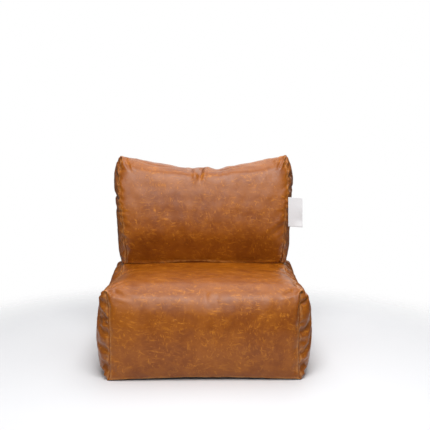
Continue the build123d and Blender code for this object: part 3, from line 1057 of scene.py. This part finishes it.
def evenly(points, normals, pitch):
    """Places pitch apart along a line of points: the points, the directions and the normals there."""
    steps = np.linalg.norm(np.diff(points, axis=0), axis=1)
    along = np.concatenate([[0], np.cumsum(steps)])
    at = np.arange(pitch, along[-1] - pitch, pitch)

    def sampled(values, where):
        return np.stack([np.interp(where, along, values[:, n]) for n in range(3)], axis=1)

    places = sampled(points, at)
    return places, unit(sampled(points, at + pitch / 4) - places), unit(sampled(normals, at))


def stitch_row(name, rows, body):
    """One piece that holds every stitch of some rows, each row a line of points and their normals."""
    sides, rings = STITCH_SIDES, len(STITCH_ENDS)
    vertices, faces = [], []
    for points, normals in rows:
        for place, ahead, up in zip(*evenly(points, normals, STITCH), strict=True):
            across = np.cross(ahead, up)
            first = len(vertices)
            for end, thick in zip(STITCH_ENDS, STITCH_TAPER, strict=True):
                sink = STITCH_SINK * (2 * end) ** 4
                centre = place + ahead * end * STITCH_LENGTH + up * (STITCH_PROUD - sink)
                for side in range(sides):
                    turn = 2 * math.pi * side / sides
                    spoke = across * math.cos(turn) + up * math.sin(turn) * STITCH_FLATNESS
                    vertices.append(centre + spoke * thick * STITCH_THICK / 2)
            for ring in range(rings - 1):
                for side in range(sides):
                    low, next_side = first + ring * sides, (side + 1) % sides
                    faces.append([low + side, low + next_side, low + sides + next_side, low + sides + side])
            faces.append([first + side for side in reversed(range(sides))])
            faces.append([first + (rings - 1) * sides + side for side in range(sides)])
    new_mesh(name, vertices, [face[::-1] for face in faces], body, THREAD)


def seam_row(bag, kind, edge):
    """The line of topstitching inside one edge of a panel, and its normals."""
    _, _, width, length, _ = panel_layout(bag, kind)
    inset = SEAM_ALLOWANCE
    if edge in ("a0", "a1"):
        a = np.array([inset if edge == "a0" else width - inset])
        points, normals, _ = panel_surface(bag, kind, a, np.arange(inset, length - inset, ROW_STEP))
        return points[0], normals[0]
    b = np.array([inset if edge == "b0" else length - inset])
    points, normals, _ = panel_surface(bag, kind, np.arange(inset, width - inset, ROW_STEP), b)
    return points[:, 0], normals[:, 0]


def zip_row(bag, side):
    """The line of topstitching beside a zip's slit."""
    a = np.arange(ZIP_ROW_ENDS, bag.cut[0] - ZIP_ROW_ENDS, ROW_STEP)
    b = height_on_rear(bag, a, np.full(len(a), ZIPS[bag.name] + side * (SLIT + ZIP_ALLOWANCE)))
    points, normals, _ = panel_surface(bag, "rear", a, b[:, None])
    return points[:, 0], normals[:, 0]


def topstitching(bag):
    """The stitches along the side seams, round the rear panel and beside the zip."""
    body = BODY[bag.name]
    sides = [seam_row(bag, "top_front", edge) for edge in ("a0", "a1")]
    stitch_row(bag.name + "_side_seam_stitches", sides, body)
    rear = [seam_row(bag, "rear", edge) for edge in ("a0", "a1", "b1")]
    stitch_row(bag.name + "_rear_seam_stitches", rear, body)
    stitch_row(bag.name + "_zip_stitches", [zip_row(bag, -1), zip_row(bag, 1)], body)


# ---- zips
COIL_PITCH = 0.0016
COIL_WIRE = 0.00062
COIL_POINTS = 10  # for each turn
COIL_FLATNESS = 0.6  # below 1, the turns are flattened
WIRE_SIDES = 4
RIB_PITCH = 0.0014  # of a zip's tape
TAPE_THICK = 0.70  # the tape between its ribs, as a share of its CAD thickness
TAPE_RIB = 0.10  # half of what a rib adds to that
TAPE_EDGE = (0, 0.0008)  # where the tape thins out to its edges
TAPE_LEAST = 0.45  # as a share of its thickness, at them
TAPE_LINES = (140, 22)  # along the tape and across it
METAL_BEVEL = 0.00025
METAL_CORNER = math.radians(40)  # the least turn between two faces that is bevelled


def wire(bag, name, line):
    """A thin nylon tube along a line of local points."""
    ahead = unit(np.gradient(line, axis=0))
    across = np.cross(ahead, [1.0, 0, 0])
    across /= np.maximum(np.linalg.norm(across, axis=1), 1e-9)[:, None]
    up = np.cross(across, ahead)
    turn = 2 * math.pi * (np.arange(WIRE_SIDES) + 0.5) / WIRE_SIDES
    spokes = across[:, None] * np.cos(turn)[:, None] + up[:, None] * np.sin(turn)[:, None]
    rings = line[:, None] + spokes * COIL_WIRE / 2
    index = np.arange(len(line) * WIRE_SIDES).reshape(len(line), WIRE_SIDES)
    after = np.roll(index, -1, axis=1)
    faces = np.stack([index[:-1], index[1:], after[1:], after[:-1]], axis=-1).reshape(-1, 4).tolist()
    faces += [index[0].tolist(), index[-1, ::-1].tolist()]
    return new_mesh(name, bag.place(rings.reshape(-1, 3)), faces, BODY[bag.name], NYLON)


def coil(bag, part):
    """One side of a zip: a nylon wire wound along X, flattened, inside its CAD solid's box."""
    node = f"{bag.name}_zip_{part}_coil"
    low, high = local_box(node, LOCAL[bag.name])
    centre, half = (low + high) / 2, (high - low) / 2 - COIL_WIRE / 2
    turns = round((high[0] - low[0] - 2 * COIL_WIRE) / COIL_PITCH)
    turn = 2 * math.pi * np.linspace(0, turns, turns * COIL_POINTS + 1)
    x = np.linspace(low[0] + COIL_WIRE, high[0] - COIL_WIRE, len(turn))
    y = centre[1] + half[1] * np.sin(turn)
    z = centre[2] + half[2] * np.sign(np.cos(turn)) * np.abs(np.cos(turn)) ** COIL_FLATNESS
    piece = wire(bag, node + "_winding", np.stack([x, y, z], axis=1))
    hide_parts(node)


def tape(bag, part):
    """One zip tape: a thin ribbed strip that thins out to its edges."""
    node = f"{bag.name}_zip_{part}_tape"
    low, high = local_box(node, LOCAL[bag.name])
    x = np.linspace(low[0], high[0], TAPE_LINES[0])
    up = np.linspace(low[2], high[2], TAPE_LINES[1])
    middle, half = (low[1] + high[1]) / 2, (high[1] - low[1]) / 2
    ribs = TAPE_RIB * (1 + np.sin(2 * math.pi * up / RIB_PITCH))
    edge = np.minimum(up - low[2], high[2] - up)
    thick = half * (TAPE_THICK + ribs) * thinned(edge, TAPE_LEAST, TAPE_EDGE)
    vertices, faces = shell(sheet(x, middle + thick, up), sheet(x, middle - thick, up))
    piece = new_mesh(node + "_weave", bag.place(vertices), faces, BODY[bag.name], TAPE_CLOTH)
    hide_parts(node)


def finish_metal(bag):
    """Brass and a fine bevel for the slider, the pull and the end stops, which keep their CAD shape."""
    for part in ("end_stops", "slider", "pull"):
        node = frame["nodes"][f"{bag.name}_zip_{part}"]
        node.data.materials.clear()
        node.data.materials.append(BRASS)
        bevel = node.modifiers.new("bevel", "BEVEL")
        bevel.width = METAL_BEVEL
        bevel.segments = 2
        bevel.limit_method = "ANGLE"
        bevel.angle_limit = METAL_CORNER


# ---- filling
LINER_INSET = 0.0090  # from the cover in to the liner
LINER_SKIN = 0.0008
FILL_INSET = 0.0105  # and to the beads
LINER_ROUNDS = 12  # how often the liner's points are drawn to their neighbours


def relaxed(points, quads, rounds):
    """The points of a closed mesh drawn towards their neighbours, which takes its corners in."""
    corners = np.array(quads)
    shared = np.bincount(corners.ravel())[:, None]
    for _ in range(rounds):
        middles = points[corners].mean(axis=1)
        pulled = np.zeros_like(points)
        for side in range(4):
            np.add.at(pulled, corners[:, side], middles)
        points = pulled / shared
    return points


def inner_bag(bag):
    """The liner and the beads in it, a little inside the cover."""
    soft = relaxed(bag.points, bag.quads, LINER_ROUNDS)
    normals = outward(soft, bag.quads)

    def inset(distance):
        return bag.place(bag.finish(soft) - normals * distance)

    count = len(bag.points)
    outer, inner = inset(LINER_INSET), inset(LINER_INSET + LINER_SKIN)
    faces = bag.quads + [[corner + count for corner in quad[::-1]] for quad in bag.quads]
    both = np.concatenate([outer, inner])
    liner = new_mesh(bag.name + "_liner_bag", both, faces, BODY[bag.name], LINER_CLOTH)
    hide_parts(bag.name + "_liner")
    fill = inset(FILL_INSET)
    beads = new_mesh(bag.name + "_beads", fill, bag.quads, BODY[bag.name], BEADS)
    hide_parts(bag.name + "_bead_fill")


# ---- the hinge in the crease
def ribbon_faces(path, width_places, half):
    """The two faces of a ribbon along X that follows a path of (y, z), half thick each way of it."""
    ahead = unit(np.gradient(path, axis=0))
    side = np.stack([ahead[:, 1], -ahead[:, 0]], axis=1)
    half = np.broadcast_to(half, len(width_places))[:, None]
    return (sheet(width_places, *(path + way * half[..., None] * side).transpose(2, 0, 1)) for way in (1, -1))


HINGE_MARGIN = 0.004  # at each end of the strip
HINGE_EDGE = 0.0018  # from the strip's fold to the front of its CAD flaps
HINGE_THICK = 0.94  # as a share of a CAD flap's thickness
HINGE_LINES = 90  # across the chair


def hinge_strip():
    """A strip of the cover's cloth, folded in the crease between both cushions, in place of their CAD flaps.
    """
    low, high = (np.array(corner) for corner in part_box("seat_hinge_flap"))
    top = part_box("back_hinge_flap")[1].z
    ply = high[2] - low[2]
    middle = (low[2] + top) / 2
    fold = (top - low[2] - ply) / 2
    front = low[1] + HINGE_EDGE
    turn = np.linspace(-math.pi / 2, -3 * math.pi / 2, 9)
    flat = np.linspace(high[1], front, 8)[:-1]
    y = np.concatenate([flat, front + fold * np.cos(turn), flat[::-1]])
    z = middle + np.concatenate([np.full(len(flat), -fold), fold * np.sin(turn), np.full(len(flat), fold)])
    x = np.linspace(low[0] + HINGE_MARGIN, high[0] - HINGE_MARGIN, HINGE_LINES)
    vertices, faces = shell(*ribbon_faces(np.stack([y, z], axis=1), x, ply / 2 * HINGE_THICK))
    strip = free_mesh("hinge_strip", vertices, faces, LEATHER)
    seam_wear_and_painted_light = strip.data.attributes.new("seam_distance", "FLOAT", "POINT")
    seam_wear_and_painted_light.data.foreach_set("value", np.full(len(vertices), AWAY_FROM_SEAM, np.float32))
    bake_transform(strip)
    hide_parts("seat_hinge_flap", "back_hinge_flap")


# ---- care label
LABEL_PLY = 0.00035
LABEL_FOLD = 0.0005  # radius of the label's fold
LABEL_SEWN_IN = 0.0015  # how far the label reaches into the seam
LABEL_DROOP = 0.055  # how far the free edge hangs down, as a share of the label's reach
LABEL_RIPPLE = 0.0016
LABEL_CURL = 0.0050  # how far the free lower corner curls forward
LABEL_OPENING = 0.0007  # how far the plies part at the lower edge
LABEL_LINES = 46  # up the label


def folded_in_two(flat, radius):
    """Places along a strip folded in two: how far out each one is and how far behind the front ply."""
    turn = np.linspace(0, math.pi, 10)[1:-1]
    straight = np.linspace(0, flat, 28)
    out = np.concatenate([straight, flat + radius * np.sin(turn), straight[::-1]])
    rear = np.full(len(straight), 2 * radius)
    behind = np.concatenate([np.zeros(len(straight)), radius * (1 - np.cos(turn)), rear])
    return out, behind


def care_label():
    """A blank white label, cut twice as long as it shows and folded, caught in the right front seam."""
    label = JOINTS["care_label_flap"]
    root, rise = np.array(label["pos_m"]), np.array(label["axis"])
    low, high = (np.array(corner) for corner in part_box("care_label"))
    reach, height = high[0] - low[0], (high[2] - low[2]) / rise[2]
    outwards = np.array([1.0, 0, 0])
    forward = np.cross(outwards, rise)
    out, behind = folded_in_two(reach - LABEL_FOLD, LABEL_FOLD)
    up = np.linspace(-height / 2, height / 2, LABEL_LINES)
    share, share_up = out[:, None] / reach, up[None, :] / height
    # the seam holds the root; the free edge droops, ripples and curls at its lower corner
    ripple = LABEL_RIPPLE * np.sin(2.2 * math.pi * share_up + 1.0) * share**1.2
    curl = LABEL_CURL * ease(-share_up, 0.22, 0.5) * ease(share, 0.15, 1.0)
    parted = LABEL_OPENING / LABEL_FOLD * ease(-share_up, 0.0, 0.5) * share
    ahead = ripple + curl - behind[:, None] * (1 + parted)
    centre = (
        root
        + outwards * (out[:, None, None] - LABEL_SEWN_IN)
        + rise * (up[None, :, None] - LABEL_DROOP * out[:, None, None])
        + forward * ahead[..., None]
    )
    normals = unit(np.cross(np.gradient(centre, axis=0), np.gradient(centre, axis=1)))
    vertices, faces = shell(centre + normals * LABEL_PLY / 2, centre - normals * LABEL_PLY / 2)
    piece = new_mesh("care_label_cloth", vertices, faces, "care_label", LABEL_CLOTH)
    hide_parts("care_label")


# ---- carry loop
LOOP_THICK = 0.0018
LOOP_RIB = 0.0026  # from one rib of the webbing to the next
LOOP_TURN = (0.38, 0.62)  # where along the webbing its lower turn begins and ends
LOOP_SEWN = 0.16  # how much of it is drawn together at each end
LOOP_MARGIN = 0.0004  # from the sides of its CAD box
LOOP_ROOM = 0.0002  # left for the ribs
LOOP_RELIEF = 0.00018  # of the ribs
LOOP_EDGE = (0, 0.0012)  # where the webbing thins out to its edges
LOOP_LEAST = 0.35  # as a share of its thickness, at them
LOOP_LINES = (100, 58)  # along the webbing and across it


def loop_path(low, high):
    """The (y, z) line of the hanging loop inside its CAD box: down, round and up again."""
    depth = (high[1] - low[1] - LOOP_THICK) / 2
    middle = (low[1] + high[1]) / 2
    top, lowest = high[2] - LOOP_THICK / 2, low[2] + LOOP_THICK / 2
    s = np.linspace(0, 1, LOOP_LINES[0])
    sewn = low[1] + LOOP_THICK * np.where(s < 0.5, 0.5, 1.5)  # one end of the webbing lies on the other
    begins, ends = LOOP_TURN
    swing = math.pi * np.clip((s - begins) / (ends - begins), 0, 1)
    gathered = ease(np.minimum(s, 1 - s), 0, LOOP_SEWN)
    y = middle - depth * np.cos(swing)
    y = sewn + (y - sewn) * gathered
    down = np.clip(np.minimum(s, 1 - s) / begins, 0, 1)
    z = top - down * (top - lowest - depth) - depth * np.sin(swing)
    return np.stack([y, z], axis=1)


def carry_loop():
    """The webbing loop on the back's rear seam, with its ribs woven in."""
    low, high = (np.array(corner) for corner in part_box("carry_loop"))
    x = np.linspace(low[0] + LOOP_MARGIN, high[0] - LOOP_MARGIN, LOOP_LINES[1])
    edge = np.minimum(x - x[0], x[-1] - x)
    ribs = LOOP_RELIEF * np.sin(2 * math.pi * x / LOOP_RIB)
    half = (LOOP_THICK / 2 - LOOP_ROOM + ribs) * thinned(edge, LOOP_LEAST, LOOP_EDGE)
    vertices, faces = shell(*ribbon_faces(loop_path(low, high), x, half))
    piece = new_mesh("carry_loop_webbing", vertices, faces, "carry_loop", WEBBING_CLOTH)
    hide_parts("carry_loop")


# ---- floor, light and camera
FLOOR_REACH = 9.0
FLOOR_FADES = (0.85, 1.4)  # how far from the chair the floor begins to turn into white, and is white
CAMERA_LENS = 73.3
CAMERA_PLACE = (-0.015, -3.24, 0.92)
CAMERA_TILT = 6.98  # degrees down
CAMERA_PAN = -1.0
FLOOR_TONES = ((0.705, 0.71, 0.73, 1), (0.735, 0.74, 0.755, 1))
BACKDROP = 1.0  # how bright the camera sees the studio's white
AMBIENT_LEVEL = 0.14  # how bright the studio lights the chair from the height of the eye and below
AMBIENT_ABOVE = 0.36  # and from overhead
AMBIENT_TOP = 0.7  # how high up that is reached, from 0 level with the eye to 1 overhead
LAMPS = (  # name, place, what it is aimed at, size and watts
    ("key_softbox", (-0.25, -2.75, 2.15), (0, 0, 0.40), 1.3, 29),
    ("crown_softbox", (0.05, -1.35, 2.50), (0, 0.10, 0.50), 1.3, 54),
    ("overhead_softbox", (0.10, 0.60, 2.70), (0, 0, 0.30), 2.2, 30),
    ("rear_softbox", (0.60, 2.60, 1.70), (0, 0, 0.35), 2.2, 16),
)


def make_floor():
    """A pale floor that fades into the white of the studio away from the chair."""
    mesh = bpy.data.meshes.new("floor")
    corners = [(x * FLOOR_REACH, y * FLOOR_REACH, 0) for x, y in ((-1, -1), (1, -1), (1, 1), (-1, 1))]
    mesh.from_pydata(corners, [], [(0, 1, 2, 3)])
    floor = new_object("floor", mesh)
    r = Recipe("floor_paint", Roughness=0.6)
    r.colour(r.mixed(r.noise(1.5, detail=2), *FLOOR_TONES))
    away = r.add("VectorMath", {0: r.object_place}, operation="LENGTH")
    r.feed(r.shader.inputs["Alpha"], r.between(away.outputs["Value"], *FLOOR_FADES, 1.0, 0.0))
    mesh.materials.append(r.material)


def make_world():
    """White where the camera sees it, and a softer white light from all round."""
    world = bpy.data.worlds.new("studio")
    bpy.context.scene.world = world
    world.use_nodes = True
    r = Nodes(world.node_tree)
    height = r.add("SeparateXYZ", {"Vector": r.add("TexCoord").outputs["Generated"]}).outputs["Z"]
    levels = {"From Max": AMBIENT_TOP, "To Min": AMBIENT_LEVEL, "To Max": AMBIENT_ABOVE}
    ambient = r.add("MapRange", {"Value": height} | levels).outputs["Result"]
    seen = r.add("LightPath").outputs["Is Camera Ray"]
    strength = r.add("MapRange", {"Value": seen, "To Min": ambient, "To Max": BACKDROP})
    background = r.nodes["Background"]
    r.feed(background.inputs["Color"], (1, 1, 1, 1))
    r.feed(background.inputs["Strength"], strength.outputs["Result"])


def make_lamps():
    """The soft boxes, each turned towards what it lights."""
    for name, place, aim, size, watts in LAMPS:
        light = bpy.data.lights.new(name, "AREA")
        light.energy = watts
        light.size = size
        lamp = new_object(name, light)
        lamp.location = place
        lamp.rotation_euler = (Vector(aim) - Vector(place)).to_track_quat("-Z", "Y").to_euler()


def make_camera():
    """The camera, nearly straight in front of the chair and a little above its back."""
    camera = bpy.data.cameras.new("camera")
    camera.lens = CAMERA_LENS
    view = new_object("camera", camera)
    view.location = CAMERA_PLACE
    view.rotation_euler = (math.radians(90 - CAMERA_TILT), 0, math.radians(CAMERA_PAN))
    bpy.context.scene.camera = view
    bpy.context.scene.view_settings.view_transform = "Standard"


for bag in make_bags():
    plain_panels(bag)
    rear_panels(bag)
    topstitching(bag)
    for part in ("upper", "lower"):
        tape(bag, part)
        coil(bag, part)
    finish_metal(bag)
    inner_bag(bag)
hinge_strip()
care_label()
carry_loop()
make_floor()
make_world()
make_lamps()
make_camera()
